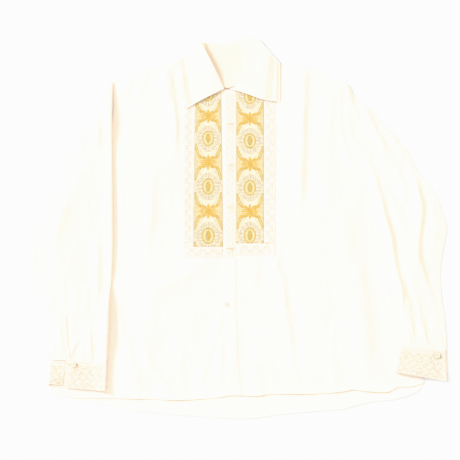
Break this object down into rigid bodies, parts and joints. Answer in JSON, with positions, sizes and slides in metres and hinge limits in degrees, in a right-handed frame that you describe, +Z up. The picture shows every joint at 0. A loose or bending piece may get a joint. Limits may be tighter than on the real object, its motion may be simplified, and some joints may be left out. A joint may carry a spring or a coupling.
{
  "type": "barong tagalog shirt, laid flat",
  "caption": "Long-sleeved open-front shirt laid flat, with a turned-down collar, embroidered bib bands, a front placket, embroidered cuffs and a longer curved back hem.",
  "frame": {"origin": "middle of the laid-out shirt's outline, on the surface that it lies on", "axes": "+X to the right of the front view (towards the wearer's left sleeve), +Y from the hem to the collar, +Z up from the surface, out of the front of the shirt"},
  "size_m": [0.818, 0.7502, 0.0121],
  "materials": {
    "ivory_cloth": "soft plain-woven cotton, washed, faint crepe",
    "ivory_collar": "firmer two-ply cotton with drawn-thread border lines",
    "embroidered_ivory": "ivory cloth closely embroidered in ivory thread",
    "gold_embroidery": "gold thread embroidery on pale straw cloth",
    "shell_button": "polished pale shell"
  },
  "bodies": {
    "root": {"back": "ivory_cloth", "bib_foot_strip_left": "embroidered_ivory", "bib_foot_strip_right": "embroidered_ivory", "bib_gold_band_left": "gold_embroidery", "bib_gold_band_right": "gold_embroidery", "bib_side_strip_left": "embroidered_ivory", "bib_side_strip_right": "embroidered_ivory", "collar_back": "ivory_collar", "collar_leaf_left": "ivory_collar", "collar_leaf_right": "ivory_collar", "cuff_button_left": "shell_button", "cuff_button_right": "shell_button", "cuff_left": "embroidered_ivory", "cuff_right": "embroidered_ivory", "front_button_1": "shell_button", "front_button_2": "shell_button", "front_button_3": "shell_button", "front_button_4": "shell_button", "front_button_5": "shell_button", "front_left": "ivory_cloth", "front_placket": "embroidered_ivory", "front_right": "ivory_cloth", "sleeve_left": "ivory_cloth", "sleeve_right": "ivory_cloth", "sleeve_slit_binding_left": "ivory_cloth"}
  },
  "joints": []
}
